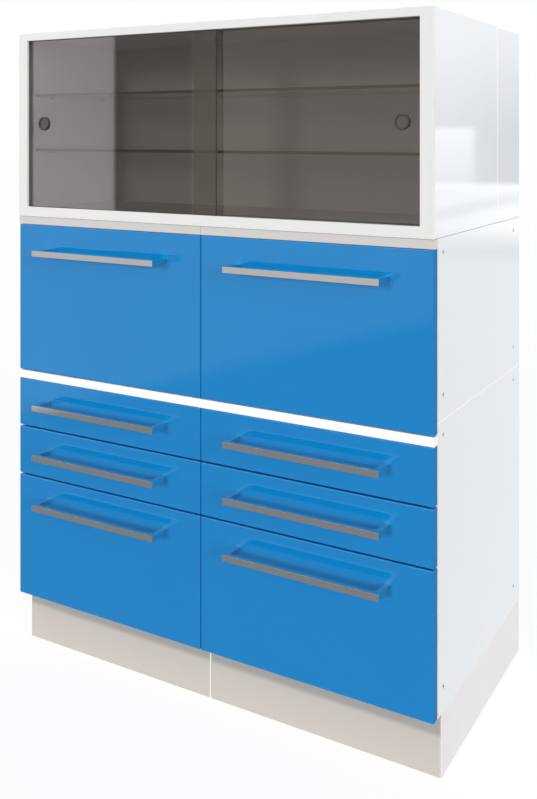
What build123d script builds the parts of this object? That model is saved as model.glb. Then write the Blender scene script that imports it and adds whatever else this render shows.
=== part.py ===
from build123d import *
import os

# Free-standing two-column storage cabinet for sutures and small supplies.
# Each column stacks a plinth, a lower module with three drawers and a middle module
# with one deep pull-out. One glazed display unit with sliding panes spans both columns.
# Millimetres. +X to the right seen from the front, -Y towards the user, +Z up.
# The origin is on the floor, at the centre of the overall width and depth.

# ---------------------------------------------------------------- driving dimensions
column_width = 500.0
cabinet_depth = 545.0          # outer face of the fronts to the rear of the carcass
plinth_height = 116.0
lower_height = 531.0           # lower carcass
middle_height = 332.0          # middle carcass
display_height = 416.0         # glazed unit, frame included
display_depth = 380.0          # outer face of the fronts to the rear of the glazed unit

# boards and panels
edge_round = 1.0               # eased edges of the visible boards
board = 18.0
back_panel = 8.0
front_thickness = 18.0
front_standoff = 2.0           # between a closed front and the carcass edge
display_board = 16.0
display_back = 6.0
display_back_inset = 58.0      # room for a hanging rail behind the glazed unit's back panel

# fronts
front_side_gap = 0.5           # a front stops this short of its column's edge
front_gap = 3.0                # between two fronts, one above the other
strip_gap_below = 0.6          # between a strip and the front below it
strip_gap_above = 1.5          # between a strip and the front above it
front_round = 2.5
shallow_front = 107.0          # height of the two upper drawers' fronts
middle_front_overlap = 18.5    # the pull-out's front covers the lower module by this much

# strips that lie flush with the fronts
strip_height = 18.0
strip_round = 1.0
top_strip_joint = 0.6          # gap between the two columns' top strips

# plinth
plinth_recess = 37.0           # behind the outer face of the fronts
plinth_sheet = 2.0
plinth_flange = 24.0
plinth_round = 5.0
plinth_joint = 0.6             # gap between the two columns' plinths

# levelling feet
foot_setback = 62.0            # centre of a foot from the plinth's outer faces
foot_pad_radius = 20.0
foot_pad_height = 8.0
foot_stem_radius = 6.0
foot_socket_radius = 24.0
foot_socket_height = 30.0

# drawer boxes and their runners
box_sheet = 1.5                # a box's sides, floor and back
box_rear_gap = 34.0            # from a box to the back panel
rim_height = 5.0
running_gap = 0.3              # above and below a rim in its runner, and at the buffers
rim_end_gap = 0.5              # between a rim and the runner's web
rim_setback = 8.0              # from the rear of a box's side to its rim
runner_width = 12.0
runner_sheet = 2.0
runner_rear_gap = 22.0         # from a runner to the back panel
runner_setback = 2.0           # from the carcass front edge
box_side_gap = 1.0             # between a box's wall and the runner's lips
box_above_screws = 18.0        # the box rises this far above the handle's screws
box_rise = 2.0                 # from a front's lower edge up to its box
box_floor_gap = 7.0            # from a bottom board to the box above it

# handles
handle_length = 330.0
handle_height = 12.0
handle_bar = 9.0
handle_leg = 10.0
handle_projection = 50.0
handle_foot_height = 9.5
handle_inner_round = 10.0
handle_edge_round = 0.8
handle_drop_drawer = 47.0      # from the top of a drawer's front to the handle's middle
handle_drop_pull_out = 58.0
screw_radius = 2.0
screw_head_radius = 4.0
screw_head_height = 2.4
screw_grip = 14.0              # length of thread inside a handle's leg
screw_clearance = 0.1          # around a screw's shank
screw_end_gap = 1.0            # beyond the end of its thread

# rubber buffers behind the fronts
buffer_radius = 5.0
buffer_inset = 16.0            # from a front's upper and lower edges

# corner brackets, side screws and the bolts that join the columns
bracket_width = 36.0
bracket_sheet = 2.0
bracket_top_leg = 24.0
bracket_bottom_leg = 40.0
bracket_foot = 12.0            # length along the board
fixing_front = 48.0            # fixings' distance behind the outer face of the fronts
fixing_back = 46.0             # fixings' distance from the rear of the carcass
fixing_from_bottom = 46.0
fixing_clearance = 0.5         # between a bolt's head and the bracket's flat leg
side_screw_radius = 2.5
side_head_radius = 4.5
side_head_height = 3.0
side_head_sink = 0.6           # the head lies this far below the side's face
side_screw_tail = 3.0
bolt_radius = 4.0
bolt_head_radius = 6.5
bolt_head_height = 2.5

# glazed display unit
frame_proud = 3.0              # the frame stands out beyond the fronts
frame_thickness = 6.0
frame_stile = 26.0
frame_top_rail = 17.0
frame_bottom_rail = 22.0
track_width = 26.0
track_front_gap = 1.0          # between the frame and the tracks
groove_width = 6.0
groove_wall = 3.0              # outer walls of a track
track_floor = 2.0
top_track_height = 10.0
bottom_track_height = 11.0
bottom_track_rebate = 6.0
pane_thickness = 5.0
pane_overlap = 64.0
pane_side_gap = 1.0
pane_lift = 0.3                # pane above the floor of its groove
pane_top_gap = 1.0
pull_radius = 15.5
pull_thickness = 4.2
pull_rim = 1.0
pull_dish_radius = 11.0
pull_dish_depth = 2.6
pull_from_edge = 52.0          # pull's centre from the pane's outer edge
shelf_count = 2
shelf_thickness = 6.0
shelf_front_gap = 4.0         # from the tracks to a shelf's front edge
shelf_end_gap = 1.0
support_radius = 2.5
support_depth = 8.0            # pin inside the side panel
support_block = 9.0
support_block_height = 5.0
support_inset = 50.0           # from a shelf's front and rear edges

# rear spacer behind the display unit
spacer_drop = 3.0              # its top lies this far below the display unit's top

# ---------------------------------------------------------------- derived planes
overall_depth = handle_projection + cabinet_depth
y_face = handle_projection - overall_depth / 2
y_rear = y_face + cabinet_depth
y_carcass = y_face + front_thickness + front_standoff
z_lower = plinth_height
z_middle = z_lower + lower_height
z_display = z_middle + middle_height
z_top = z_display + display_height
clear_half = column_width / 2 - board          # column centre to a side's inner face
fixing_from_top = board + bracket_sheet + bolt_head_radius + fixing_clearance
box_half = clear_half - runner_width - box_side_gap
columns = {"left": -column_width / 2, "right": column_width / 2}

# edges of the fronts, from the top of the cabinet down
pull_out_bottom = z_middle - middle_front_overlap
pull_out_top = z_display - strip_height - strip_gap_below
separator_top = pull_out_bottom - strip_gap_above
separator_bottom = separator_top - strip_height
upper_top = separator_bottom - strip_gap_below
upper_bottom = upper_top - shallow_front
centre_top = upper_bottom - front_gap
centre_bottom = centre_top - shallow_front
deep_top = centre_bottom - front_gap
# name: (front's lower edge, front's upper edge, handle's drop, its module's floor)
drawers = {
    "pull_out": (pull_out_bottom, pull_out_top, handle_drop_pull_out, z_middle + board),
    "upper_drawer": (upper_bottom, upper_top, handle_drop_drawer, z_lower + board),
    "centre_drawer": (centre_bottom, centre_top, handle_drop_drawer, z_lower + board),
    "deep_drawer": (z_lower, deep_top, handle_drop_drawer, z_lower + board),
}

nodes = {}


def add(name, *solids):
    """Puts solids into the named node."""
    nodes.setdefault(name, []).extend(solids)


def slab(x0, x1, y0, y1, z0, z1):
    """A rectangular block between two opposite corners."""
    middle = Pos((x0 + x1) / 2, (y0 + y1) / 2, (z0 + z1) / 2)
    return middle * Box(x1 - x0, y1 - y0, z1 - z0)


def side_panel(x_face, x_inner, y0, y1, z0, z1):
    """An upright board whose outer face, at x_face, has eased edges."""
    panel = slab(min(x_face, x_inner), max(x_face, x_inner), y0, y1, z0, z1)
    outer_face = panel.faces().sort_by(Axis.X)[0 if x_face < x_inner else -1]
    return fillet(outer_face.edges(), edge_round)


def rod_x(radius, x0, x1, y, z):
    """A cylinder along X from x0 to x1."""
    return Pos((x0 + x1) / 2, y, z) * Rot(0, 90, 0) * Cylinder(radius, x1 - x0)


def rod_y(radius, y0, y1, x, z):
    """A cylinder along Y from y0 to y1."""
    return Pos(x, (y0 + y1) / 2, z) * Rot(90, 0, 0) * Cylinder(radius, y1 - y0)


def rod_z(radius, z0, z1, x, y):
    """A cylinder along Z from z0 to z1."""
    return Pos(x, y, (z0 + z1) / 2) * Cylinder(radius, z1 - z0)


# ---------------------------------------------------------------- plinths and feet
def plinth(x0, x1):
    """A folded sheet ring with inward flanges at its top and bottom."""
    y0, y1 = y_face + plinth_recess, y_rear
    sheet, flange = plinth_sheet, plinth_flange
    ring = slab(x0, x1, y0, y1, 0, plinth_height)
    ring = fillet(ring.edges().filter_by(Axis.Z), plinth_round)
    ring -= slab(x0 + flange, x1 - flange, y0 + flange, y1 - flange, 0, plinth_height)
    hollow = slab(x0 + sheet, x1 - sheet, y0 + sheet, y1 - sheet, sheet, plinth_height - sheet)
    return ring - fillet(hollow.edges().filter_by(Axis.Z), plinth_round - sheet)


def foot(x, y):
    """A levelling foot: socket under the bottom board, stem and pad in one turned shape."""
    socket = rod_z(foot_socket_radius, plinth_height - foot_socket_height, plinth_height, x, y)
    stem = rod_z(foot_stem_radius, 0, plinth_height - foot_socket_height, x, y)
    return socket + stem + rod_z(foot_pad_radius, 0, foot_pad_height, x, y)


for side, x_mid in columns.items():
    x0, x1 = x_mid - column_width / 2, x_mid + column_width / 2
    joint_left = plinth_joint / 2 if side == "right" else 0
    joint_right = plinth_joint / 2 if side == "left" else 0
    add(f"plinth_{side}", plinth(x0 + joint_left, x1 - joint_right))
    for x in (x0 + foot_setback, x1 - foot_setback):
        for y in (y_face + plinth_recess + foot_setback, y_rear - foot_setback):
            add("levelling_feet", foot(x, y))


# ---------------------------------------------------------------- fixings of a module
def fixing_points(z0, z1):
    """(y, z, is_top) of the fixings on one side of a module."""
    for y in (y_face + fixing_front, y_rear - fixing_back):
        yield y, z1 - fixing_from_top, True
        yield y, z0 + fixing_from_bottom, False


def bracket(x_wall, inward, y, z_board, is_top):
    """An angle bracket on a side's inner face, x_wall, under or on the board at z_board."""
    down = -1 if is_top else 1
    leg = bracket_top_leg if is_top else bracket_bottom_leg
    y0, y1 = y - bracket_width / 2, y + bracket_width / 2
    tall = (x_wall, x_wall + inward * bracket_sheet), (z_board, z_board + down * leg)
    flat = (x_wall, x_wall + inward * bracket_foot), (z_board, z_board + down * bracket_sheet)
    parts = [slab(min(xs), max(xs), y0, y1, min(zs), max(zs)) for xs, zs in (tall, flat)]
    return parts[0] + parts[1]


def side_screw(x_face, inward, y, z):
    """A screw from a side's outer face through the side and the bracket behind it."""
    head = [x_face + inward * side_head_sink, x_face + inward * (side_head_sink + side_head_height)]
    end = x_face + inward * (board + bracket_sheet + side_screw_tail)
    shank = rod_x(side_screw_radius, *sorted((head[1], end)), y, z)
    return rod_x(side_head_radius, *sorted(head), y, z) + shank


def side_screw_hole(x_face, inward, y, z):
    """The hole that a side screw needs in the side and in the bracket."""
    seat = x_face + inward * (side_head_sink + side_head_height)
    end = x_face + inward * (board + bracket_sheet + side_screw_tail)
    hole = rod_x(side_screw_radius + screw_clearance, *sorted((x_face, end)), y, z)
    return hole + rod_x(side_head_radius + screw_clearance, *sorted((x_face, seat)), y, z)


def column_bolt(y, z):
    """A sleeve bolt through both columns' inner sides and their brackets."""
    reach = board + bracket_sheet
    bolt = rod_x(bolt_radius, -reach, reach, y, z)
    bolt += rod_x(bolt_head_radius, reach, reach + bolt_head_height, y, z)
    return bolt + rod_x(bolt_head_radius, -reach - bolt_head_height, -reach, y, z)


# ---------------------------------------------------------------- carcasses
def carcass(module, side, z0, z1):
    """Two sides, a bottom, a top and a back, with their brackets and fixings."""
    x_mid = columns[side]
    outward = -1 if side == "left" else 1
    bottom, top = z0 + board, z1 - board
    x_out, x_in = x_mid + outward * column_width / 2, x_mid - outward * column_width / 2
    outer = side_panel(x_out, x_out - outward * board, y_carcass, y_rear, z0, z1)
    inner = slab(*sorted((x_in, x_in + outward * board)), y_carcass, y_rear, z0, z1)
    span = (x_mid - clear_half, x_mid + clear_half)
    for y, z, is_top in fixing_points(z0, z1):
        z_board = top if is_top else bottom
        hole = side_screw_hole(x_out, -outward, y, z)
        outer -= hole
        screwed = bracket(x_out - outward * board, -outward, y, z_board, is_top)
        add("corner_brackets", screwed - hole)
        add("side_screws", side_screw(x_out, -outward, y, z))
        bolt_hole = rod_x(bolt_radius + screw_clearance, -2 * board, 2 * board, y, z)
        inner -= bolt_hole
        bolted = bracket(x_in + outward * board, outward, y, z_board, is_top)
        add("corner_brackets", bolted - bolt_hole)
    add(f"{module}_outer_sides", outer)
    add(f"{module}_inner_sides", inner)
    add(f"{module}_bottom_boards", slab(*span, y_carcass, y_rear, z0, bottom))
    add(f"{module}_top_boards", slab(*span, y_carcass, y_rear, top, z1))
    add(f"{module}_back_panels", slab(*span, y_rear - back_panel, y_rear, bottom, top))


for side in columns:
    carcass("lower", side, z_lower, z_middle)
    carcass("middle", side, z_middle, z_display)
for z0, z1 in ((z_lower, z_middle), (z_middle, z_display)):
    for y, z, is_top in fixing_points(z0, z1):
        add("column_bolts", column_bolt(y, z))


# ---------------------------------------------------------------- strips flush with the fronts
def strip(x0, x1, z0):
    """A strip on the carcass's front edge, with its two long front edges eased."""
    bar = slab(x0, x1, y_face, y_carcass, z0, z0 + strip_height)
    front_edges = bar.faces().sort_by(Axis.Y)[0].edges().filter_by(Axis.X)
    return fillet(front_edges, strip_round)


add("separator_strip", strip(-column_width, column_width, separator_bottom))
joint = top_strip_joint / 2
add("top_strips", strip(-column_width, -joint, z_display - strip_height))
add("top_strips", strip(joint, column_width, z_display - strip_height))


# ---------------------------------------------------------------- drawers
def drawer_front(x_mid, z0, z1, holes):
    """A front with rounded edges, drilled for the handle's screws."""
    half = column_width / 2 - front_side_gap
    panel = slab(x_mid - half, x_mid + half, y_face, y_face + front_thickness, z0, z1)
    panel = fillet(panel.edges().filter_by(Axis.Y), front_round)
    panel = fillet(panel.faces().sort_by(Axis.Y)[0].edges(), front_round)
    for hole in holes:
        panel -= hole
    return panel


def drawer_box(x_mid, z0, z1):
    """A sheet box behind a front: two sides whose rims ride in the runners, a floor and a back."""
    y0, y1 = y_face + front_thickness, y_rear - back_panel - box_rear_gap
    rim_tip = clear_half - runner_sheet - rim_end_gap
    inner_half = box_half - box_sheet
    for way in (-1, 1):
        wall_xs = sorted((x_mid + way * inner_half, x_mid + way * box_half))
        rim_xs = sorted((x_mid + way * inner_half, x_mid + way * rim_tip))
        rim = slab(*rim_xs, y_carcass, y1 - rim_setback, z1 - rim_height, z1)
        yield slab(*wall_xs, y0, y1, z0, z1) + rim
    inner_xs = x_mid - inner_half, x_mid + inner_half
    yield slab(*inner_xs, y0, y1, z0, z0 + box_sheet)
    yield slab(*inner_xs, y1 - box_sheet, y1, z0 + box_sheet, z1)


def runner(x_mid, way, z_rim_top):
    """A channel on a side's inner face, open towards the drawer."""
    y0, y1 = y_carcass + runner_setback, y_rear - back_panel - runner_rear_gap
    wall, lip = x_mid + way * clear_half, x_mid + way * (clear_half - runner_width)
    slot_low, slot_high = z_rim_top - rim_height - running_gap, z_rim_top + running_gap
    xs, slot_xs = sorted((wall, lip)), sorted((wall - way * runner_sheet, lip))
    channel = slab(*xs, y0, y1, slot_low - runner_sheet, slot_high + runner_sheet)
    return channel - slab(*slot_xs, y0, y1, slot_low, slot_high)


def handle(x_mid, z_mid, holes):
    """A bridge handle: a flat bar on two legs that thin towards their feet."""
    half, depth, leg = handle_length / 2, handle_projection, handle_leg
    y_tip = y_face - depth
    plan = slab(x_mid - half, x_mid + half, y_tip, y_face, z_mid - handle_height, z_mid + handle_height)
    gap = slab(x_mid - half + leg, x_mid + half - leg, y_tip + handle_bar, y_face + handle_bar,
               z_mid - 2 * handle_height, z_mid + 2 * handle_height)
    corners = gap.edges().filter_by(Axis.Z).group_by(Axis.Y)[0]
    plan -= fillet(corners, handle_inner_round)
    top, foot_top = handle_height / 2, handle_foot_height / 2
    outline = Polyline((y_tip, -top), (y_face - 2 * handle_bar, -top), (y_face, -foot_top),
                       (y_face, foot_top), (y_face - 2 * handle_bar, top), (y_tip, top), close=True)
    side_view = extrude(Plane.YZ * make_face(outline), half, both=True)
    bridge = plan & (Pos(x_mid, 0, z_mid) * side_view)
    tip_edges = bridge.faces().sort_by(Axis.Y)[0].edges()
    bridge = fillet(tip_edges, handle_edge_round)
    for hole in holes:
        bridge -= hole
    return bridge


def handle_screw(x, z):
    """A screw from inside the box through the front into a handle's leg."""
    y_head = y_face + front_thickness
    shank = rod_y(screw_radius, y_face - screw_grip, y_head, x, z)
    return shank + rod_y(screw_head_radius, y_head, y_head + screw_head_height, x, z)


def handle_screw_hole(x, z):
    """The hole that a handle screw needs, a little deeper than its thread."""
    y_end = y_face - screw_grip - screw_end_gap
    return rod_y(screw_radius + screw_clearance, y_end, y_face + front_thickness, x, z)


def buffers(x_mid, z0, z1):
    """Four rubber buffers on the carcass's front edges behind one front."""
    y0 = y_carcass - front_standoff + running_gap
    for x in (x_mid - column_width / 2 + board / 2, x_mid + column_width / 2 - board / 2):
        for z in (z0 + buffer_inset, z1 - buffer_inset):
            yield rod_y(buffer_radius, y0, y_carcass, x, z)


for side, x_mid in columns.items():
    for name, (z0, z1, handle_drop, floor) in drawers.items():
        z_handle = z1 - handle_drop
        screw_xs = [x_mid + way * (handle_length - handle_leg) / 2 for way in (-1, 1)]
        holes = [handle_screw_hole(x, z_handle) for x in screw_xs]
        low = max(z0 + box_rise, floor + box_floor_gap)
        high = z_handle + box_above_screws
        add(f"{side}_{name}_front", drawer_front(x_mid, z0, z1, holes))
        add(f"{side}_{name}_box", *drawer_box(x_mid, low, high))
        add(f"{side}_{name}_handle", handle(x_mid, z_handle, holes))
        add(f"{side}_{name}_handle", *[handle_screw(x, z_handle) for x in screw_xs])
        add("drawer_runners", runner(x_mid, -1, high), runner(x_mid, 1, high))
        add("front_buffers", *buffers(x_mid, z0, z1))

# ---------------------------------------------------------------- display unit
y_frame = y_face - frame_proud
y_panel = y_frame + frame_thickness            # front edge of the display unit's boards
y_display_rear = y_face + display_depth
y_back_face = y_display_rear - display_back_inset - display_back
y_track = y_panel + track_front_gap
y_track_rear = y_track + track_width
x_panel = column_width - display_board         # inner face of the unit's sides
top_track_low = z_top - display_board
bottom_track_low = z_display + display_board - bottom_track_rebate
opening_low, opening_high = z_display + frame_bottom_rail, z_top - frame_top_rail


def frame_member(points, along):
    """A mitred frame member from its outline in the XZ plane, its long front edges eased."""
    outline = make_face(Polyline(*points, close=True))
    member = Pos(0, y_frame, 0) * extrude(Plane.XZ * outline, -frame_thickness)
    front_edges = member.faces().sort_by(Axis.Y)[0].edges().filter_by(along)
    return fillet(front_edges, edge_round)


def display_frame():
    """Two stiles and two rails that meet in mitres."""
    x1, x0 = column_width, column_width - frame_stile
    for x_out, x_in in ((-x1, -x0), (x1, x0)):
        corners = [(x_out, z_display), (x_out, z_top), (x_in, opening_high), (x_in, opening_low)]
        yield frame_member(corners, Axis.Z)
    for z_out, z_in in ((z_top, opening_high), (z_display, opening_low)):
        corners = [(-x1, z_out), (x1, z_out), (x0, z_in), (-x0, z_in)]
        yield frame_member(corners, Axis.X)


def track(z0, z1, opens_up):
    """A double-grooved track across the display unit, and the floors of its grooves."""
    bar = slab(-x_panel, x_panel, y_track, y_track_rear, z0, z1)
    floor = z0 + track_floor if opens_up else z1 - track_floor
    mouth = z1 if opens_up else z0
    for y0 in groove_starts:
        bar -= slab(-x_panel, x_panel, y0, y0 + groove_width, min(floor, mouth), max(floor, mouth))
    return bar, floor


def pull(x, y_back, z):
    """A round finger pull with a shallow dish, stuck to the front of a pane."""
    disc = rod_y(pull_radius, y_back - pull_thickness, y_back, x, z)
    disc = chamfer(disc.faces().sort_by(Axis.Y)[0].edges(), pull_rim)
    dish = rod_y(pull_dish_radius, y_back - pull_thickness, y_back - pull_thickness + pull_dish_depth, x, z)
    return disc - dish


groove_starts = (y_track + groove_wall, y_track_rear - groove_wall - groove_width)
for way, side in ((-1, "left"), (1, "right")):
    panel = side_panel(way * column_width, way * x_panel, y_panel, y_display_rear, z_display, z_top)
    add(f"display_side_{side}", panel)
add("display_frame", *display_frame())
roof = slab(-x_panel, x_panel, y_panel, y_display_rear, z_top - display_board, z_top)
roof -= slab(-x_panel, x_panel, y_panel, y_track_rear, top_track_low, top_track_low + top_track_height)
add("display_top", roof)
base = slab(-x_panel, x_panel, y_panel, y_display_rear, z_display, z_display + display_board)
base -= slab(-x_panel, x_panel, y_panel, y_track_rear, bottom_track_low, z_display + display_board)
add("display_bottom", base)
add("display_back", slab(-x_panel, x_panel, y_back_face, y_back_face + display_back,
                         z_display + display_board, z_top - display_board))
top_track, top_floor = track(top_track_low, top_track_low + top_track_height, opens_up=False)
bottom_track, bottom_floor = track(bottom_track_low, bottom_track_low + bottom_track_height, opens_up=True)
add("pane_track_top", top_track)
add("pane_track_bottom", bottom_track)

pane_z = bottom_floor + pane_lift, top_floor - pane_top_gap
pane_outer = x_panel - pane_side_gap
for way, side, y_groove in ((-1, "left", groove_starts[0]), (1, "right", groove_starts[1])):
    y0 = y_groove + (groove_width - pane_thickness) / 2
    xs = sorted((way * pane_outer, -way * pane_overlap / 2))
    add(f"pane_{side}_glass", slab(*xs, y0, y0 + pane_thickness, *pane_z))
    x_pull = way * (pane_outer - pull_from_edge)
    add(f"pane_{side}_pull", pull(x_pull, y0, (opening_low + opening_high) / 2))

# shelves on their supports
shelf_y = y_track_rear + shelf_front_gap, y_back_face
shelf_step = (opening_high - opening_low) / (shelf_count + 1)
shelf_half = x_panel - shelf_end_gap
for level in range(1, shelf_count + 1):
    z = opening_low + shelf_step * level
    add("display_shelves", slab(-shelf_half, shelf_half, *shelf_y, z, z + shelf_thickness))
    for way, side in ((-1, "left"), (1, "right")):
        for y in (shelf_y[0] + support_inset, shelf_y[1] - support_inset):
            wall, z_pin = way * x_panel, z - support_block_height / 2
            block_xs = sorted((wall, wall - way * support_block))
            block = slab(*block_xs, y - support_block / 2, y + support_block / 2, z - support_block_height, z)
            pin_xs = sorted((wall, wall + way * support_depth))
            hole = rod_x(support_radius + screw_clearance, *pin_xs, y, z_pin)
            add("shelf_supports", block + rod_x(support_radius, *pin_xs, y, z_pin))
            nodes[f"display_side_{side}"][0] -= hole

# ---------------------------------------------------------------- rear spacer
z_spacer = z_top - spacer_drop
for way in (-1, 1):
    add("rear_spacer_sides", side_panel(way * column_width, way * x_panel,
                                        y_display_rear, y_rear, z_display, z_spacer))
add("rear_spacer_top", slab(-x_panel, x_panel, y_display_rear, y_rear,
                            z_spacer - display_board, z_spacer))

# ---------------------------------------------------------------- write the nodes
os.makedirs("parts", exist_ok=True)
for name, solids in nodes.items():
    shapes = [solid for piece in solids for solid in piece.solids()]
    whole = shapes[0] if len(shapes) == 1 else Compound(children=shapes)
    export_step(whole, f"parts/{name}.step")
print(len(nodes), "nodes,", sum(len(p.solids()) for s in nodes.values() for p in s), "solids")
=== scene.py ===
import math

import bmesh
import bpy
from mathutils import Matrix, Vector


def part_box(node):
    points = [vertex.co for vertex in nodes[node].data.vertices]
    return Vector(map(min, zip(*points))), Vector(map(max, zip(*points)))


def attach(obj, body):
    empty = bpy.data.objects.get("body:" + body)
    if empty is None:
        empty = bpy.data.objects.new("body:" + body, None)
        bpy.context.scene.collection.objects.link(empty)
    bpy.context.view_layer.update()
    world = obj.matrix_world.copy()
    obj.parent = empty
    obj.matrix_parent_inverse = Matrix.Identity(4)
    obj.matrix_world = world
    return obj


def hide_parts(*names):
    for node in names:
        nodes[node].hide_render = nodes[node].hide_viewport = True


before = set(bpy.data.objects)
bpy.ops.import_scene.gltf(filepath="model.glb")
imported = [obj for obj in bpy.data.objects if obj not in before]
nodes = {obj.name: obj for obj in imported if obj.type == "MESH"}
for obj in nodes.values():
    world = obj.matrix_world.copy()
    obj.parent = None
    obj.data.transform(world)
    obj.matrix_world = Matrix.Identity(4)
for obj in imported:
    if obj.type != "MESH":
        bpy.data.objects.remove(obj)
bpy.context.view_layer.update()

SIDES = ("left", "right")
DRAWERS = ("pull_out", "upper_drawer", "centre_drawer", "deep_drawer")
WHITE = (1.0, 1.0, 1.0, 1.0)

# ---------------------------------------------------------------- the camera's place and lens
EYE = (1.1081, -1.8829, 1.1686)
TURN_LEFT = 30.103               # degrees from looking straight back
FOCAL_LENGTH = 43.62             # millimetres, as the sensor's sides
SENSOR_WIDTH, SENSOR_HEIGHT = 20, 36
LOWERED_VIEW = -0.3336           # a level camera whose frame is shifted down keeps uprights upright

# ---------------------------------------------------------------- the room that gloss mirrors
# A pair of degrees or heights is where a soft edge starts and ends. Degrees are a bearing from straight
# in front or straight behind, more to the right. A height is the upward part of a direction.
WORLD_LIGHT = 0.5
SHADE = 0.455                    # low in front, under a slanting edge
SHADE_EDGE_NORMAL = (-0.3020, -0.0792, 0.9500)
SHADE_EDGE = (-0.005, 0.005)
CEILING_HEIGHTS, CEILING_GLOW = (0.45, 0.6), 1.9
EYE_LEVEL_FOOT, EYE_LEVEL_TOP = (-0.09, -0.084), (0.14, 0.2)
CARD_END, CARD_GLOW = (-39.25, -39.05), 1.85      # in front on the left, before a dark gap
CARD_TONE = (1.0, 0.99, 1.03, 1.0)
GAP_END, GAP_HEIGHTS, GAP_GLOW = (-34.7, -34.5), (0.02, 0.06), (0.2, 0.4)
FRONT_WALL_GLOW, FRONT_WALL_TONE = 0.82, (1.0, 0.935, 0.875, 1.0)
REAR_WALL_BEARINGS, REAR_WALL_GLOW = (16.2, 20), (0.66, 1.0)
REAR_WALL_HEIGHTS, REAR_WALL_GAIN = (0.0, 0.1), 0.75
LOW_WALL_TOP, LOW_WALL_HEIGHTS, LOW_WALL_GLOW = (-0.13, -0.11), (-0.32, -0.2), (1.15, 1.2)
BAND_FOOT, BAND_TOP, BAND_GLOW = (-0.12, -0.095), (-0.054, -0.048), 1.9
STREAK_HEIGHTS, STREAK_EDGE, STREAK_GLOW = (-0.066, -0.083), (0.002, 0.010), 1.4
DOOR_EDGE, DOOR_FOOT, DOOR_TOP = (17.9, 18.3), (-0.06, -0.05), (0.002, 0.008)
DOOR_HEIGHTS, DOOR_GAIN = (-0.05, 0.005), (0.45, 1.1)
BEHIND = (-0.1, 0.1)

# ---------------------------------------------------------------- lines in the finishes, in metres
# widths of the painted highlights along the chamfers, at the module joints and up the display unit's back
CHAMFER = 0.0011
CHAMFER_AT_BACK = 0.0035
CHAMFER_START = 0.001            # above the display unit's foot
# width of the painted shade line in the open joint under the display unit
OPEN_JOINT = 0.0006
LINE_FADE = 0.0003
# width of the painted highlight along the plinth seam
PLINTH_SEAM = 0.0018
# the painted shadow on the plinth front under the fronts
PLINTH_SHADOW = (0.044, 0.034)   # where its soft edge starts and ends, below the fronts
PLINTH_SHADOW_WAVE = 0.0015

# ---------------------------------------------------------------- sizes of the detailed pieces, in metres
BAR_THICKNESS = 0.009
BAR_INNER_ROUND = 0.010
LEG_WIDTH = 0.010
LEG_TAPER_LENGTH = 0.018
LEG_FOOT_HEIGHT = 0.0095
HANDLE_EDGE_ROUND = 0.00015
FRONT_THICKNESS = 0.018
SCREW_GRIP = 0.014
HANDLE_SCREW_HEAD, HANDLE_SCREW_HEAD_HEIGHT = 0.004, 0.0024
HANDLE_SCREW_SHANK = 0.002
SIDE_SCREW_HEAD, SIDE_SCREW_HEAD_HEIGHT = 0.0045, 0.0030
SIDE_SCREW_SHANK = 0.0025
HEAD_ROUND = 0.35                # of the head's height, as the recess's depth
RECESS_DEPTH = 0.6
RECESS_SLACK = 0.01              # of the recess's depth, for telling its faces
HEAD_RIM = 0.9                   # of the head's height and radius, past which an edge is on its rim
RECESS_REACH = 0.62              # of the head's radius, as the next three
CROSS_ARM, CROSS_BLADE = 0.55, 0.13
HEXAGON_RADIUS = 0.56
POINT_LENGTH, POINT_RADIUS = 0.1, 0.7      # of the shank's length and radius
PULL_RIM = 0.001
PULL_MOUTH_RADIUS = 0.0116
PULL_DISH_RADIUS, PULL_DISH_DEPTH = 0.011, 0.0024
PULL_DISH_WALL = 0.75            # of the dish's depth
PULL_FLOOR_SLOPE = 0.0012
PULL_RING_WIDTH = 0.0045
PULL_MIDDLE, PULL_MIDDLE_RISE = 0.0052, 0.0002
PULL_EDGE_ROUND = 0.0004
PULL_FLOOR_FROM = 0.6            # of the dish's depth, past which a face lies on its floor
CLOSE = 0.0005                   # how near counts as on the rim or the back of a pull

# ---------------------------------------------------------------- how edges and faces are told apart
TOUCHING = 0.00001               # metres between points that count as one
ALONG = 0.9                      # at least this much of a direction that lies along an axis
ACROSS = 0.1                     # at most this much of a direction that lies across it
FLAT = 0.99                      # as ALONG, for a face that no rounding has turned
SHARP_TURN = math.radians(30)    # edges that turn more are rounded
SMOOTH_TURN = math.radians(35)   # edges that turn less are shaded smooth


# ---------------------------------------------------------------- camera
def place_camera():
    lens = bpy.data.cameras.new("camera")
    lens.sensor_fit = "VERTICAL"
    lens.sensor_width, lens.sensor_height = SENSOR_WIDTH, SENSOR_HEIGHT
    lens.lens = FOCAL_LENGTH
    lens.shift_y = LOWERED_VIEW
    lens.clip_start, lens.clip_end = 0.05, 60
    camera = bpy.data.objects.new("camera", lens)
    bpy.context.scene.collection.objects.link(camera)
    camera.location = EYE
    camera.rotation_euler = (math.radians(90), 0, math.radians(TURN_LEFT))
    bpy.context.scene.camera = camera


# ---------------------------------------------------------------- node helpers
def put(tree, kind, values=None, **settings):
    """Adds a node. A value that is another node's output is linked, any other is set on the socket."""
    node = tree.nodes.new(kind)
    for key, value in settings.items():
        setattr(node, key, value)
    for key, value in (values or {}).items():
        if isinstance(value, bpy.types.NodeSocket):
            tree.links.new(value, node.inputs[key])
        else:
            node.inputs[key].default_value = value
    return node


def rgba(red, green, blue):
    return (red, green, blue, 1.0)


def dimmed(colour, share):
    return rgba(*[share * channel for channel in colour[:3]])


def calculate(tree, operation, first, second):
    return put(tree, "ShaderNodeMath", {0: first, 1: second}, operation=operation).outputs["Value"]


def distance(tree, first, second):
    """How far apart two values are."""
    apart = calculate(tree, "SUBTRACT", first, second)
    return put(tree, "ShaderNodeMath", {0: apart}, operation="ABSOLUTE").outputs["Value"]


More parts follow.
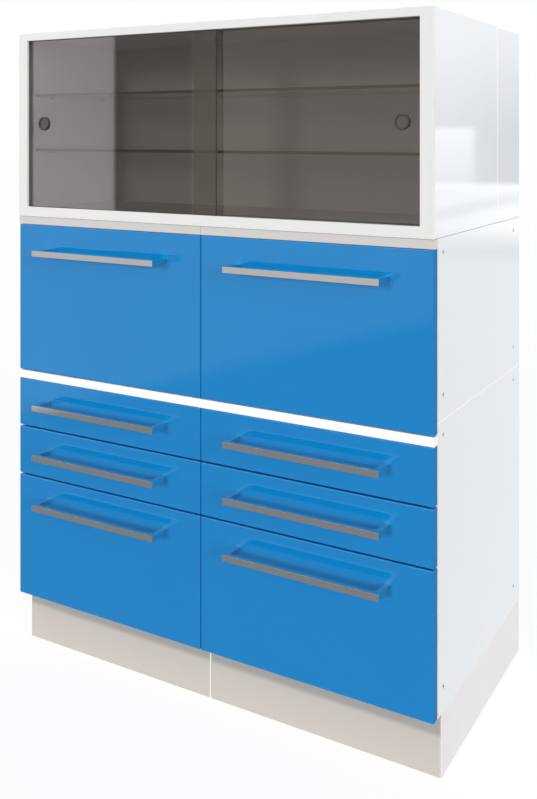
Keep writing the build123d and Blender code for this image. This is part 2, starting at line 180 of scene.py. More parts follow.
def spread(tree, value, low, high, new_low, new_high):
    """Maps a value from one range to another, and holds it at the ends."""
    ranges = {"Value": value, "From Min": low, "From Max": high, "To Min": new_low, "To Max": new_high}
    return put(tree, "ShaderNodeMapRange", ranges).outputs["Result"]


def spread_bearing(tree, bearing, degrees, new_low, new_high):
    """The same for an angle, whose range is a pair of degrees."""
    return spread(tree, bearing, math.radians(degrees[0]), math.radians(degrees[1]), new_low, new_high)


def between(tree, value, foot, top):
    """1 between two soft edges, 0 past them."""
    return calculate(tree, "MULTIPLY", spread(tree, value, *foot, 0, 1), spread(tree, value, *top, 1, 0))


def mix_values(tree, factor, first, second):
    """first where the factor is 0, second where it is 1. 2 and 3 are the number sockets of a Mix node."""
    return put(tree, "ShaderNodeMix", {0: factor, 2: first, 3: second}, data_type="FLOAT").outputs[0]


def blend_colours(tree, factor, first, second):
    """The same for colours, whose sockets are 6 and 7."""
    return put(tree, "ShaderNodeMix", {0: factor, 6: first, 7: second}, data_type="RGBA").outputs[2]


def mix_shaders(tree, factor, first, second):
    """The same for the shaders of two nodes."""
    shaders = {"Fac": factor, 1: first.outputs[0], 2: second.outputs[0]}
    return put(tree, "ShaderNodeMixShader", shaders)


def seen_directly(tree):
    """1 where the camera looks, through glass too."""
    path = put(tree, "ShaderNodeLightPath").outputs
    return calculate(tree, "MAXIMUM", path["Is Camera Ray"], path["Is Transmission Ray"])


# ---------------------------------------------------------------- surroundings
def mirrored_in_front(tree, direction, parts):
    """Strength and tone of what the fronts and panes mirror: a shade under a slanting edge and a bright
    ceiling, and at eye level a pale card, a dark gap and a warmer wall."""
    above_edge = put(tree, "ShaderNodeVectorMath", {0: direction, 1: SHADE_EDGE_NORMAL},
                     operation="DOT_PRODUCT").outputs["Value"]
    room = calculate(tree, "ADD", spread(tree, above_edge, *SHADE_EDGE, SHADE, 1.0),
                     spread(tree, parts["Z"], *CEILING_HEIGHTS, 0.0, CEILING_GLOW))
    forward = calculate(tree, "MULTIPLY", parts["Y"], -1.0)
    bearing = calculate(tree, "ARCTAN2", parts["X"], forward)
    on_card = spread_bearing(tree, bearing, CARD_END, 1, 0)
    past_gap = spread_bearing(tree, bearing, GAP_END, 0, 1)
    beside = mix_values(tree, past_gap, spread(tree, parts["Z"], *GAP_HEIGHTS, *GAP_GLOW), FRONT_WALL_GLOW)
    eye_level = calculate(tree, "ADD", beside, calculate(tree, "MULTIPLY", on_card, CARD_GLOW))
    at_eye_level = between(tree, parts["Z"], EYE_LEVEL_FOOT, EYE_LEVEL_TOP)
    strength = mix_values(tree, at_eye_level, room, eye_level)
    tone = blend_colours(tree, at_eye_level, WHITE, blend_colours(tree, on_card, FRONT_WALL_TONE, CARD_TONE))
    return strength, tone


def mirrored_behind(tree, parts):
    """Strength of what the right side mirrors: a wall that brightens with height, a bright band
    with a fainter streak along its foot, and the lit doorway in it."""
    height = parts["Z"]
    bearing = calculate(tree, "ARCTAN2", parts["X"], parts["Y"])
    wall = calculate(tree, "ADD", spread_bearing(tree, bearing, REAR_WALL_BEARINGS, *REAR_WALL_GLOW),
                     spread(tree, height, *REAR_WALL_HEIGHTS, 0.0, REAR_WALL_GAIN))
    low_wall = spread(tree, height, *LOW_WALL_HEIGHTS, *LOW_WALL_GLOW)
    wall = mix_values(tree, spread(tree, height, *LOW_WALL_TOP, 0, 1), low_wall, wall)
    off_streak = distance(tree, height, spread_bearing(tree, bearing, REAR_WALL_BEARINGS, *STREAK_HEIGHTS))
    band = spread(tree, off_streak, *STREAK_EDGE, STREAK_GLOW, BAND_GLOW)
    wall = mix_values(tree, between(tree, height, BAND_FOOT, BAND_TOP), wall, band)
    in_door = calculate(tree, "MULTIPLY", spread_bearing(tree, bearing, DOOR_EDGE, 0, 1),
                        between(tree, height, DOOR_FOOT, DOOR_TOP))
    door_gain = spread(tree, height, *DOOR_HEIGHTS, *DOOR_GAIN)
    return calculate(tree, "ADD", wall, calculate(tree, "MULTIPLY", in_door, door_gain))


def build_world():
    """White to look at and plain light on the object, with a simple room that only gloss mirrors."""
    world = bpy.data.worlds.new("studio")
    bpy.context.scene.world = world
    world.use_nodes = True
    tree = world.node_tree
    tree.nodes.clear()
    direction = put(tree, "ShaderNodeTexCoord").outputs["Generated"]
    parts = put(tree, "ShaderNodeSeparateXYZ", {"Vector": direction}).outputs
    front_strength, front_tone = mirrored_in_front(tree, direction, parts)
    behind = spread(tree, parts["Y"], *BEHIND, 0, 1)
    strength = mix_values(tree, behind, front_strength, mirrored_behind(tree, parts))
    tone = blend_colours(tree, behind, front_tone, WHITE)
    mirrored = put(tree, "ShaderNodeBackground", {"Color": tone, "Strength": strength})
    plain = put(tree, "ShaderNodeBackground", {"Color": WHITE, "Strength": WORLD_LIGHT})
    seen = put(tree, "ShaderNodeBackground", {"Color": WHITE, "Strength": 1.0})
    by_gloss = put(tree, "ShaderNodeLightPath").outputs["Is Glossy Ray"]
    unseen = mix_shaders(tree, by_gloss, plain, mirrored)
    whole = mix_shaders(tree, seen_directly(tree), unseen, seen)
    put(tree, "ShaderNodeOutputWorld", {"Surface": whole.outputs[0]})


def build_floor():
    """A wide floor that looks white and keeps the object's shadow."""
    bpy.ops.object.select_all(action="DESELECT")
    bpy.ops.mesh.primitive_plane_add(size=60, location=(0, 0, 0))
    floor = bpy.context.active_object
    floor.name = "studio_floor"
    finish, tree = new_finish("pale_floor")
    unseen = put(tree, "ShaderNodeBsdfDiffuse", {"Color": rgba(0.8, 0.8, 0.8)})
    lit = put(tree, "ShaderNodeBsdfDiffuse", {"Color": rgba(0.35, 0.35, 0.35)})
    glow = put(tree, "ShaderNodeEmission", {"Color": WHITE, "Strength": 0.76})
    pale = put(tree, "ShaderNodeAddShader", {0: lit.outputs[0], 1: glow.outputs[0]})
    whole = mix_shaders(tree, seen_directly(tree), unseen, pale)
    floor.data.materials.append(finished(finish, whole))
    floor.visible_glossy = False
    return floor


def add_sun(name, strength, angle, direction, leaves_out=None):
    """A soft lamp far away that shines along the direction, and that gloss doesn't mirror.
    It lights everything but the object that it leaves out."""
    sun = bpy.data.lights.new(name, "SUN")
    sun.energy, sun.angle = strength, math.radians(angle)
    lamp = bpy.data.objects.new(name, sun)
    bpy.context.scene.collection.objects.link(lamp)
    lamp.rotation_mode = "QUATERNION"
    lamp.rotation_quaternion = Vector(direction).to_track_quat("-Z", "Y")
    lamp.visible_glossy = False
    if leaves_out:
        unlit = bpy.data.collections.new(f"unlit_by_{name}")
        unlit.objects.link(leaves_out)
        unlit.collection_objects[0].light_linking.link_state = "EXCLUDE"
        lamp.light_linking.receiver_collection = unlit


def light_studio(floor):
    add_sun("front_light", 1.1, 12, (0.1, 0.96, -0.22))
    add_sun("side_light", 1.25, 30, (-0.85, 0.42, -0.2))
    add_sun("top_light", 0.45, 20, (0, 0.03, -1), leaves_out=floor)
    add_sun("rear_light", 1.2, 40, (0.5, -0.8, -0.35), leaves_out=floor)


# ---------------------------------------------------------------- patterns for the finishes
def new_finish(name):
    """A material and its empty node tree."""
    finish = bpy.data.materials.new(name)
    finish.use_nodes = True
    finish.node_tree.nodes.clear()
    return finish, finish.node_tree


def finished(finish, shader):
    """The material, with the shader of that node as its surface."""
    put(finish.node_tree, "ShaderNodeOutputMaterial", {"Surface": shader.outputs[0]})
    return finish


def surface(tree, colour, roughness, direction=None, others=None):
    """The usual surface. direction is its relief, and others are more of the shader's values by name."""
    values = {"Base Color": colour, "Roughness": roughness} | (others or {})
    if direction:
        values["Normal"] = direction
    return put(tree, "ShaderNodeBsdfPrincipled", values)


def object_place(tree):
    """X, Y and Z of a point on the object, in metres."""
    place = put(tree, "ShaderNodeTexCoord").outputs["Object"]
    return put(tree, "ShaderNodeSeparateXYZ", {"Vector": place}).outputs


def noise(tree, scale, detail=2.0, stretch=(1, 1, 1)):
    """Noise fixed to the object. A stretch under 1 draws it out along that axis."""
    place = put(tree, "ShaderNodeTexCoord").outputs["Object"]
    stretched = put(tree, "ShaderNodeMapping", {"Vector": place, "Scale": stretch}).outputs["Vector"]
    values = {"Vector": stretched, "Scale": scale, "Detail": detail}
    return put(tree, "ShaderNodeTexNoise", values).outputs["Fac"]


def uneven(tree, scale, low, high, detail=2.0, stretch=(1, 1, 1)):
    """A value that wanders between two others."""
    return spread(tree, noise(tree, scale, detail, stretch), 0.3, 0.7, low, high)


def relief(tree, pattern, height, over=None):
    """The surface's direction with a pattern of that height in it, over another relief if one is given."""
    values = {"Height": pattern, "Distance": height, "Strength": 1.0}
    if over:
        values["Normal"] = over
    return put(tree, "ShaderNodeBump", values).outputs["Normal"]


def facing(tree, axis, sign=1, low=0.6, high=0.8):
    """1 on faces that point along the axis, 0 elsewhere."""
    normal = put(tree, "ShaderNodeTexCoord").outputs["Normal"]
    along = put(tree, "ShaderNodeSeparateXYZ", {"Vector": normal}).outputs[axis]
    return spread(tree, along, low * sign, high * sign, 0, 1)


def facing_either_way(tree, axis, low=0.6, high=0.8):
    return calculate(tree, "MAXIMUM", facing(tree, axis, 1, low, high), facing(tree, axis, -1, low, high))


def close_to(tree, value, place, reach):
    """1 within the reach of a place, 0 past it."""
    return spread(tree, distance(tree, value, place), reach, reach + LINE_FADE, 1, 0)


def painted_joint_lines(tree, tone):
    """Painted highlights: near-white lines along the chamfers where two modules meet and up the back of the
    display unit, and painted shade: a dark line in the open joint that the display unit stands on."""
    place = object_place(tree)
    display_low, display_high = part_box("display_side_right")
    bright = calculate(tree, "MULTIPLY", close_to(tree, place["Y"], display_high.y, CHAMFER_AT_BACK),
                       spread(tree, place["Z"], display_low.z, display_low.z + CHAMFER_START, 0, 1))
    for node in ("lower_outer_sides", "middle_outer_sides"):
        bright = calculate(tree, "MAXIMUM", bright, close_to(tree, place["Z"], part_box(node)[0].z, CHAMFER))
    # painted highlight: the chamfers are coloured near white
    tone = blend_colours(tree, bright, tone, rgba(0.99, 0.99, 0.99))
    # painted shade: the open joint is coloured dark grey
    joint = calculate(tree, "MULTIPLY", facing_either_way(tree, "X", 0.4, 0.5),
                      close_to(tree, place["Z"], display_low.z, OPEN_JOINT))
    return blend_colours(tree, joint, tone, rgba(0.3, 0.3, 0.3))


def strip_shadow_line(tree, tone):
    """A painted shadow: a dark line where the display unit sits on the top strips."""
    joint = close_to(tree, object_place(tree)["Z"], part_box("top_strips")[1].z, OPEN_JOINT)
    return blend_colours(tree, joint, tone, rgba(0.2, 0.18, 0.15))


# ---------------------------------------------------------------- finishes
def coated(name, colour, roughness, grain, grain_height, edge=None, lines=None):
    """A painted or moulded surface: a slight change of tone, uneven gloss and a fine grain. A board that
    faces X may have a brighter edge, where it turns away from X, which is white edge banding and also a
    painted highlight, and lines drawn on it."""
    finish, tree = new_finish(name)
    tone = blend_colours(tree, uneven(tree, 1.5, 0, 1, 3.0), colour, dimmed(colour, 0.99))
    if edge:
        # white edge banding, made brighter as a painted highlight on the edges and their rounds
        tone = blend_colours(tree, facing_either_way(tree, "X", 0.86, 0.97), edge, tone)
    if lines:
        tone = lines(tree, tone)
    fine_grain = relief(tree, noise(tree, grain, 3.0), grain_height)
    return finished(finish, surface(tree, tone, uneven(tree, 12, *roughness), fine_grain))


def plinth_lacquer():
    """Semi-gloss paint in two lit copies: warm grey in front, a little darker towards the top, with a
    painted shadow under the fronts, and painted paler at the ends as if more lit, with a painted highlight
    along the seam.
    """
    finish, tree = new_finish("plinth_lacquer_and_painted_light")
    place = object_place(tree)
    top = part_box("left_deep_drawer_front")[0].z
    wave = uneven(tree, 6.0, -PLINTH_SHADOW_WAVE, PLINTH_SHADOW_WAVE)
    shadow_edge = [top - below for below in PLINTH_SHADOW]
    shadow = spread(tree, calculate(tree, "ADD", place["Z"], wave), *shadow_edge, 0, 1)
    front = blend_colours(tree, spread(tree, place["Z"], 0.0, top, 0, 1),
                          rgba(0.66, 0.61, 0.55), rgba(0.60, 0.545, 0.505))
    front = blend_colours(tree, shadow, front, rgba(0.405, 0.395, 0.37))
    # painted light: the ends are a paler, cooler copy of the paint, as if more lit than the front
    ends = painted_joint_lines(tree, rgba(0.83, 0.80, 0.81))
    tone = blend_colours(tree, facing(tree, "Y", -1), ends, front)
    # painted highlight along the seam between the two plinths
    tone = blend_colours(tree, close_to(tree, place["X"], 0.0, PLINTH_SEAM), tone, rgba(0.97, 0.95, 0.92))
    fine_grain = relief(tree, noise(tree, 900, 3.0), 0.00003)
    return finished(finish, surface(tree, tone, uneven(tree, 12, 0.3, 0.42), fine_grain))


def metal(name, colour, roughness, grain, grain_height, stretch=(1, 1, 1)):
    """Bare or plated metal with a fine grain, which a stretch brushes along an axis."""
    finish, tree = new_finish(name)
    tone = blend_colours(tree, noise(tree, 60, 3.0, stretch), colour, dimmed(colour, 0.93))
    sheen = uneven(tree, grain, *roughness, stretch=stretch)
    fine_grain = relief(tree, noise(tree, grain, 2.0, stretch), grain_height)
    return finished(finish, surface(tree, tone, sheen, fine_grain, {"Metallic": 1.0}))


def glass(name, tint, edge_colour, thin_axis, ior):
    """Sheet glass: tinted and mirroring on its broad faces, dark and ground on its edges."""
    finish, tree = new_finish(name)
    clear = put(tree, "ShaderNodeBsdfTransparent", {"Color": tint})
    mirror = put(tree, "ShaderNodeBsdfGlossy", {"Color": rgba(1.0, 0.95, 0.92), "Roughness": 0.02})
    smear = spread(tree, noise(tree, 6, 4.0), 0.3, 0.8, 0.96, 1.04)
    backfacing = put(tree, "ShaderNodeNewGeometry").outputs["Backfacing"]
    outside = calculate(tree, "SUBTRACT", 1.0, backfacing)
    fresnel = put(tree, "ShaderNodeFresnel", {"IOR": ior}).outputs["Fac"]
    reflected = calculate(tree, "MULTIPLY", calculate(tree, "MULTIPLY", fresnel, outside), smear)
    broad = mix_shaders(tree, reflected, clear, mirror)
    ground = surface(tree, edge_colour, 0.3)
    see_through = calculate(tree, "MAXIMUM", facing_either_way(tree, thin_axis), backfacing)
    whole = mix_shaders(tree, see_through, ground, broad)
    return finished(finish, whole)


def front_lacquer():
    """Gloss blue on the face, satin on the edge band, whose darker blue is painted shade, white board
    behind.
    """
    finish, tree = new_finish("blue_gloss_lacquer")
    tone = blend_colours(tree, uneven(tree, 2.0, 0, 1, 3.0),
                         rgba(0.0031, 0.217, 0.549), rgba(0.0033, 0.221, 0.557))
    waves = relief(tree, noise(tree, 9, 1.0), 0.00005, over=relief(tree, noise(tree, 220, 1.0), 0.000004))
    gloss = surface(tree, tone, uneven(tree, 14, 0.03, 0.06), waves, {"Specular IOR Level": 0.42})
    # painted shade: the edge faces are a darker blue than the face
    band_tone_in_painted_shade = blend_colours(tree, noise(tree, 40, 2.0), rgba(0.004, 0.17, 0.44), rgba(0.005, 0.18, 0.47))
    band = surface(tree, band_tone_in_painted_shade, 0.55, others={"Specular IOR Level": 0.12})
    board = surface(tree, rgba(0.77, 0.77, 0.78), 0.4, relief(tree, noise(tree, 900, 2.0), 0.00004))
    outside = mix_shaders(tree, facing_either_way(tree, "X"), gloss, band)
    whole = mix_shaders(tree, facing(tree, "Y"), outside, board)
    return finished(finish, whole)


def make_finishes():
    """Every finish by name. A coated one and a metal have a colour, a range of roughness, and their
    grain's scale and height."""
    return {
        "blue front": front_lacquer(),
        "board": coated("white_melamine_board", rgba(0.815, 0.85, 0.88), (0.015, 0.03), 700, 0.000001,
                        edge=rgba(0.97, 0.97, 0.97), lines=painted_joint_lines),
        "flat board": coated("white_flat_board", rgba(0.79, 0.80, 0.81), (0.35, 0.45), 700, 0.000005),
        "back board": coated("white_back_board", rgba(0.70, 0.70, 0.71), (0.45, 0.6), 500, 0.00005),
        "display frame": coated("white_satin_lacquer", rgba(0.80, 0.80, 0.785), (0.285, 0.32), 300, 0.00001),
        # painted shade: the white top strips are coloured grey-beige for the shade under the display unit,
        # with a painted shadow line
        "top strip": coated("white_moulded_strip_in_painted_shade", rgba(0.64, 0.615, 0.59), (0.3, 0.35), 400, 0.00001,
                            lines=strip_shadow_line),
        "separator": coated("bright_white_strip", rgba(0.99, 0.99, 0.99), (0.3, 0.35), 400, 0.00001),
        "plinth": plinth_lacquer(),
        "box sheet": coated("pale_grey_powder_coat", rgba(0.60, 0.61, 0.64), (0.4, 0.55), 1100, 0.00006),
        "foot": coated("black_moulding", rgba(0.014, 0.014, 0.015), (0.5, 0.7), 800, 0.00004),
        "track": coated("pale_grey_extrusion", rgba(0.5, 0.5, 0.5), (0.3, 0.4), 600, 0.00002),
        "rubber": coated("grey_rubber", rgba(0.45, 0.46, 0.47), (0.6, 0.8), 900, 0.00005),
        "screw head": coated("white_screw_head", rgba(0.72, 0.73, 0.74), (0.3, 0.4), 900, 0.00002),
        # painted shade inside the screw recesses
        "recess": coated("dark_socket", rgba(0.03, 0.03, 0.035), (0.5, 0.6), 900, 0.00002),
        "left pull": [
            coated("dark_pull_rim", rgba(0.030, 0.027, 0.024), (0.285, 0.34), 900, 0.00001),
            coated("dark_pull_dish", rgba(0.066, 0.059, 0.051), (0.29, 0.36), 900, 0.00002),
            coated("dark_pull_middle", rgba(0.044, 0.040, 0.035), (0.29, 0.36), 900, 0.00002)],
        # painted reflection: the same plastic as the left pull, coloured paler
        "right pull": [
            coated("pale_pull_rim", rgba(0.052, 0.048, 0.043), (0.285, 0.34), 900, 0.00001),
            coated("pale_pull_dish", rgba(0.098, 0.090, 0.081), (0.29, 0.36), 900, 0.00002),
            coated("pale_pull_middle", rgba(0.084, 0.077, 0.069), (0.29, 0.36), 900, 0.00002)],
        "zinc": metal("bright_zinc", rgba(0.55, 0.56, 0.58), (0.285, 0.42), 400, 0.00001),
        "handle face": metal("champagne_satin", rgba(0.478, 0.462, 0.440), (0.05, 0.08), 900, 0.000002,
                             stretch=(0.02, 1, 1)),
        "handle edge": metal("polished_edge", rgba(0.80, 0.80, 0.81), (0.03, 0.06), 500, 0.000002),
        "smoked glass": glass("smoked_sheet_glass", rgba(0.66, 0.642, 0.622), rgba(0.07, 0.065, 0.06),
                              "Y", 1.75),
        "shelf glass": glass("clear_shelf_glass", rgba(0.95, 0.97, 0.96), rgba(0.11, 0.12, 0.11), "Z", 1.5),
    }


def finish_nodes(finishes):
    """Gives each CAD node that stays its finish."""
    chosen = {
        "rear_spacer_sides": "board", "rear_spacer_top": "flat board", "display_top": "flat board",
        "display_bottom": "flat board", "display_back": "back board", "display_frame": "display frame",
        "display_shelves": "shelf glass", "separator_strip": "separator", "top_strips": "top strip",
        "levelling_feet": "foot", "pane_track_top": "track", "pane_track_bottom": "track",
        "front_buffers": "rubber", "corner_brackets": "zinc", "column_bolts": "zinc",
        "drawer_runners": "zinc", "shelf_supports": "zinc"}
    for side in SIDES:
        chosen |= {f"display_side_{side}": "board", f"plinth_{side}": "plinth",
                   f"pane_{side}_glass": "smoked glass"}
        for drawer in DRAWERS:
            chosen |= {f"{side}_{drawer}_front": "blue front", f"{side}_{drawer}_box": "box sheet"}
    for module in ("lower", "middle"):
        chosen |= {f"{module}_bottom_boards": "flat board", f"{module}_top_boards": "flat board",
                   f"{module}_inner_sides": "board", f"{module}_outer_sides": "board",
                   f"{module}_back_panels": "back board"}
    for node, finish in chosen.items():
        materials = nodes[node].data.materials
        materials.clear()
        materials.append(finishes[finish])


# ---------------------------------------------------------------- modelling helpers
def new_block(name, low, high):
    """A block between two corners, to be shaped further."""
    bpy.ops.object.select_all(action="DESELECT")
    low, high = Vector(low), Vector(high)
    bpy.ops.mesh.primitive_cube_add(size=1, location=(low + high) / 2)
    block = bpy.context.active_object
    block.name = block.data.name = name
    block.scale = high - low
    bpy.ops.object.transform_apply(location=True, rotation=True, scale=True)
    return block


def new_disc(name, radius, depth, middle, rotation=(0, 0, 0), sides=48):
    """A cylinder, to be shaped further."""
    bpy.ops.object.select_all(action="DESELECT")
    bpy.ops.mesh.primitive_cylinder_add(vertices=sides, radius=radius, depth=depth, location=middle,
                                        rotation=rotation)
    disc = bpy.context.active_object
    disc.name = disc.data.name = name
    bpy.ops.object.transform_apply(location=True, rotation=True, scale=True)
    return disc


def enter_edit(piece):
    bpy.context.view_layer.objects.active = piece
    if bpy.context.mode != "EDIT_MESH":
        bpy.ops.object.mode_set(mode="EDIT")


def leave_edit(piece):
    bpy.ops.object.mode_set(mode="OBJECT")
    bpy.ops.object.select_all(action="DESELECT")
    piece.select_set(True)
    bpy.context.view_layer.objects.active = piece


def pick(piece, kind, wanted):
    """Selects the faces or edges for which wanted(middle, direction) is true, and stays in edit mode."""
    enter_edit(piece)
    bpy.ops.mesh.select_mode(type=kind)
    bpy.ops.mesh.select_all(action="DESELECT")
    shape = bmesh.from_edit_mesh(piece.data)
    if kind == "FACE":
        for face in shape.faces:
            face.select_set(wanted(face.calc_center_median(), face.normal))
    else:
        for edge in shape.edges:
            start, end = [corner.co for corner in edge.verts]
            edge.select_set(wanted((start + end) / 2, (end - start).normalized()))
    shape.select_flush_mode()
    bmesh.update_edit_mesh(piece.data)


def extrude(way):
    """Draws the selected faces out along a way."""
    bpy.ops.mesh.extrude_region_move(TRANSFORM_OT_translate={"value": way})


def cut_all(piece, point, normal):
    """Cuts the whole piece along a plane, which leaves new edges."""
    enter_edit(piece)
    bpy.ops.mesh.select_all(action="SELECT")
    bpy.ops.mesh.bisect(plane_co=point, plane_no=normal)


def apply_modifier(modifier):
    bpy.ops.object.modifier_apply(modifier=modifier.name)


def round_edges(piece, width, segments=3):
    """Rounds all sharp edges and shades the rest smooth."""
    leave_edit(piece)
    bevel = piece.modifiers.new("round", "BEVEL")
    bevel.width, bevel.segments, bevel.limit_method = width, segments, "ANGLE"
    bevel.angle_limit = SHARP_TURN
    apply_modifier(bevel)
    bpy.ops.object.shade_smooth_by_angle(angle=SMOOTH_TURN)
    flatten = piece.modifiers.new("flatten", "WEIGHTED_NORMAL")
    flatten.keep_sharp = True
    apply_modifier(flatten)


def copy_moved(piece, name, offset):
    """A copy with its own mesh, moved."""
    twin = piece.copy()
    twin.data = piece.data.copy()
    twin.name = twin.data.name = name
    bpy.context.scene.collection.objects.link(twin)
    twin.data.transform(Matrix.Translation(offset))
    return twin


def copy_turned(piece, name, turn, place):
    """A copy with its own mesh, turned and placed."""
    twin = copy_moved(piece, name, (0, 0, 0))
    twin.data.transform(Matrix.Translation(place) @ turn.to_matrix().to_4x4())
    return twin


def join(name, parts):
    bpy.ops.object.select_all(action="DESELECT")
    for part in parts:
        part.select_set(True)
    bpy.context.view_layer.objects.active = parts[0]
    bpy.ops.object.join()
    parts[0].name = parts[0].data.name = name
    return parts[0]


def give(piece, body, node):
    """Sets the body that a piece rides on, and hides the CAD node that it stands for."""
    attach(piece, body)
    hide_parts(node)


def give_finishes(piece, *finishes):
    for finish in finishes:
        piece.data.materials.append(finish)


# ---------------------------------------------------------------- screws
def shape_screw(name, head_radius, head_height, shank_radius, shank_length, shape_recess):
    """A screw along +Z from the foot of its shank to its head, with a rounded rim and a recess painted dark
    as shade.
    """
    head = new_disc(name, head_radius, head_height, (0, 0, shank_length + head_height / 2), sides=32)
    pick(head, "EDGE", lambda at, along: abs(along.z) < ACROSS
         and at.z > shank_length + HEAD_RIM * head_height
         and Vector((at.x, at.y)).length > HEAD_RIM * head_radius)
    bpy.ops.mesh.bevel(offset=head_height * HEAD_ROUND, segments=3, affect="EDGES")
    pick(head, "FACE", lambda at, normal: normal.z < -ALONG)
    bpy.ops.mesh.inset(thickness=head_radius - shank_radius)
    extrude((0, 0, -shank_length * (1 - POINT_LENGTH)))
    extrude((0, 0, -shank_length * POINT_LENGTH))
    bpy.ops.transform.resize(value=(POINT_RADIUS, POINT_RADIUS, 1), center_override=(0, 0, 0))
    leave_edit(head)
    top, depth = shank_length + head_height, head_height * RECESS_DEPTH
    slack = depth * RECESS_SLACK
    cutter = shape_recess(head_radius, top - depth, top + depth)
    leave_edit(head)
    recess = head.modifiers.new("recess", "BOOLEAN")
    recess.operation, recess.solver, recess.object = "DIFFERENCE", "EXACT", cutter
    apply_modifier(recess)
    bpy.data.objects.remove(cutter)
    leave_edit(head)
    bpy.ops.object.shade_smooth_by_angle(angle=SMOOTH_TURN)
    # painted shade: the faces inside the recess take the dark second finish
    for face in head.data.polygons:
        away = Vector((face.center.x, face.center.y)).length
        sunk = top - depth - slack < face.center.z < top - slack
        face.material_index = 1 if sunk and away < RECESS_REACH * head_radius else 0
    return head


def cross_recess(head_radius, low, high):
    arm, blade = head_radius * CROSS_ARM, head_radius * CROSS_BLADE
    cross = new_block("cross", (-blade, -blade, low), (blade, blade, high))
    pick(cross, "FACE", lambda at, normal: abs(normal.z) < ACROSS)
    bpy.ops.mesh.extrude_faces_move(TRANSFORM_OT_shrink_fatten={"value": arm - blade})
    leave_edit(cross)
    return cross


def hex_recess(head_radius, low, high):
    radius, middle = head_radius * HEXAGON_RADIUS, (0, 0, (low + high) / 2)
    return new_disc("hexagon", radius, high - low, middle, sides=6)


def screw_places(node):
    """(middle, outward, length) of each separate solid of a node whose solids lie along X."""
    shape = bmesh.new()
    shape.from_mesh(nodes[node].data)
    bmesh.ops.remove_doubles(shape, verts=shape.verts, dist=TOUCHING)
    left, found = set(shape.verts), []
    while left:
        group, edge_of_group = set(), [left.pop()]
        while edge_of_group:
            corner = edge_of_group.pop()
            group.add(corner)
            for edge in corner.link_edges:
                other = edge.other_vert(corner)
                if other in left:
                    left.discard(other)
                    edge_of_group.append(other)
        low = Vector([min(corner.co[axis] for corner in group) for axis in range(3)])
        high = Vector([max(corner.co[axis] for corner in group) for axis in range(3)])
        middle = (low + high) / 2
        found.append((middle, 1 if middle.x > 0 else -1, high.x - low.x))
    shape.free()
    return sorted(found, key=lambda place: tuple(place[0]))


def build_side_screws(finishes):
    """The 16 screws sunk into the outer sides."""
    places = screw_places("side_screws")
    length = places[0][2]
    screw = shape_screw("side_screw_pattern", SIDE_SCREW_HEAD, SIDE_SCREW_HEAD_HEIGHT, SIDE_SCREW_SHANK,
                        length - SIDE_SCREW_HEAD_HEIGHT, hex_recess)
    give_finishes(screw, finishes["screw head"], finishes["recess"])
    made = []
    for middle, outward, length in places:
        turn = Vector((0, 0, 1)).rotation_difference(Vector((outward, 0, 0)))
        foot = (middle.x - outward * length / 2, middle.y, middle.z)
        made.append(copy_turned(screw, "side_screw", turn, foot))
    bpy.data.objects.remove(screw)
    give(join("sunk_side_screws", made), "cabinet", "side_screws")


# ---------------------------------------------------------------- handles
def shape_handle(low, high, y_foot):
    """A flat bar on two legs that thin towards their feet."""
    y_tip, y_inner = low.y, low.y + BAR_THICKNESS
    middle = Vector(((low.x + high.x) / 2, 0, (low.z + high.z) / 2))
    bar = new_block("bridge", low, (high.x, y_inner, high.z))
    for x in (low.x + LEG_WIDTH, high.x - LEG_WIDTH):
        cut_all(bar, (x, 0, 0), (1, 0, 0))
    half_clear = (high.x - low.x) / 2 - LEG_WIDTH
    pick(bar, "FACE", lambda at, normal: normal.y > ALONG and abs(at.x - middle.x) > half_clear)
    extrude((0, y_foot - LEG_TAPER_LENGTH - y_inner, 0))
    extrude((0, LEG_TAPER_LENGTH, 0))
    bpy.ops.transform.resize(value=(1, 1, LEG_FOOT_HEIGHT / (high.z - low.z)), center_override=middle)
    pick(bar, "EDGE", lambda at, along: abs(along.z) > ALONG and abs(at.y - y_inner) < TOUCHING
         and abs(abs(at.x - middle.x) - half_clear) < TOUCHING)
    bpy.ops.mesh.bevel(offset=BAR_INNER_ROUND, segments=8, affect="EDGES")
    round_edges(bar, HANDLE_EDGE_ROUND)
    for face in bar.data.polygons:
        face.material_index = 0 if face.normal.y < -FLAT and face.center.y < y_tip + TOUCHING else 1
    return bar


def build_handles(finishes):
    """A bridge handle on each front, and the two screws that hold it from behind."""
    pattern, first = None, None
    screw = shape_screw("screw_pattern", HANDLE_SCREW_HEAD, HANDLE_SCREW_HEAD_HEIGHT, HANDLE_SCREW_SHANK,
                        FRONT_THICKNESS + SCREW_GRIP, cross_recess)
    give_finishes(screw, finishes["zinc"], finishes["recess"])
    towards_back = Vector((0, 0, 1)).rotation_difference(Vector((0, 1, 0)))
    for body in [f"{side}_{drawer}" for side in SIDES for drawer in DRAWERS]:
        node = f"{body}_handle"
        low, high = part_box(node)
        y_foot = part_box(f"{body}_front")[0].y
        if pattern is None:
            pattern, first = shape_handle(low, high, y_foot), low
            give_finishes(pattern, finishes["handle face"], finishes["handle edge"])
        give(copy_moved(pattern, f"{body}_bridge_handle", low - first), body, node)
        screws = []
        for x in (low.x + LEG_WIDTH / 2, high.x - LEG_WIDTH / 2):
            place = (x, y_foot - SCREW_GRIP, (low.z + high.z) / 2)
            screws.append(copy_turned(screw, "screw", towards_back, place))
        give(join(f"{body}_handle_screws", screws), body, node)
    bpy.data.objects.remove(pattern)
    bpy.data.objects.remove(screw)


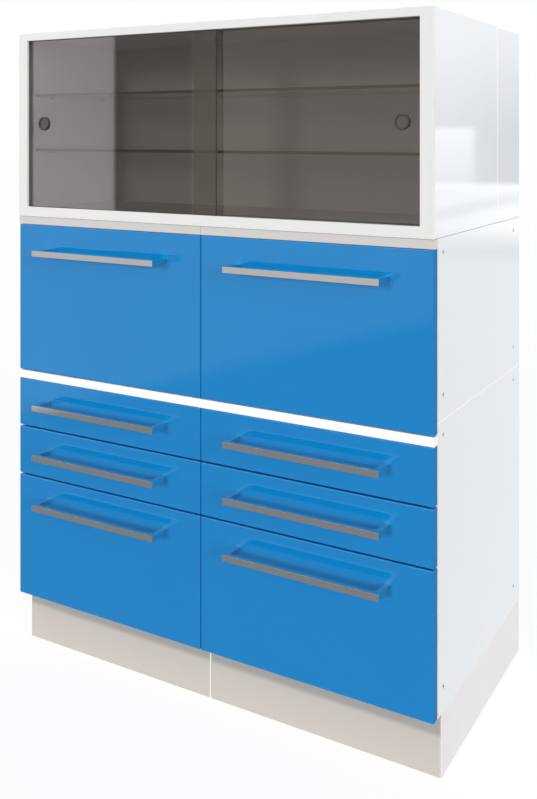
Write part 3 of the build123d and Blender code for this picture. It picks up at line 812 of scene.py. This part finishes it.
# ---------------------------------------------------------------- finger pulls
def shape_pull(name, low, high):
    """A round pull with a dished front and a slightly raised middle."""
    middle = (low + high) / 2
    radius, body_depth = (high.x - low.x) / 2, high.y - low.y - PULL_RIM
    pull = new_disc(name, radius, body_depth, (middle.x, high.y - body_depth / 2, middle.z),
                    rotation=(math.radians(90), 0, 0), sides=64)
    pick(pull, "FACE", lambda at, normal: normal.y < -ALONG)
    extrude((0, -PULL_RIM, 0))
    shrink = (radius - PULL_RIM) / radius
    bpy.ops.transform.resize(value=(shrink, 1, shrink), center_override=middle)
    bpy.ops.mesh.inset(thickness=radius - PULL_RIM - PULL_MOUTH_RADIUS)
    extrude((0, PULL_DISH_DEPTH * PULL_DISH_WALL, 0))
    bpy.ops.mesh.inset(thickness=PULL_FLOOR_SLOPE)
    bpy.ops.transform.translate(value=(0, PULL_DISH_DEPTH * (1 - PULL_DISH_WALL), 0))
    bpy.ops.mesh.inset(thickness=PULL_RING_WIDTH)
    bpy.ops.transform.translate(value=(0, -PULL_MIDDLE_RISE, 0))
    round_edges(pull, PULL_EDGE_ROUND)
    floor_starts = low.y + PULL_DISH_DEPTH * PULL_FLOOR_FROM
    for face in pull.data.polygons:
        away = Vector((face.center.x - middle.x, face.center.z - middle.z)).length
        in_dish = away < PULL_DISH_RADIUS - CLOSE and floor_starts < face.center.y < high.y - CLOSE
        face.material_index = (2 if away < PULL_MIDDLE else 1) if in_dish else 0
    return pull


def build_pulls(finishes):
    """One on each pane. A pull's three finishes are for its rim, its dish and the middle of the dish; the
    right pull's are paler, a painted reflection.
    """
    for side in SIDES:
        node = f"pane_{side}_pull"
        pull = shape_pull(f"{node}_dished", *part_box(node))
        give_finishes(pull, *finishes[f"{side} pull"])
        give(pull, f"pane_{side}", node)


def main():
    place_camera()
    build_world()
    light_studio(build_floor())
    finishes = make_finishes()
    finish_nodes(finishes)
    build_handles(finishes)
    build_side_screws(finishes)
    build_pulls(finishes)
    bpy.context.scene.view_settings.view_transform = "Standard"


main()
bpy.context.view_layer.update()
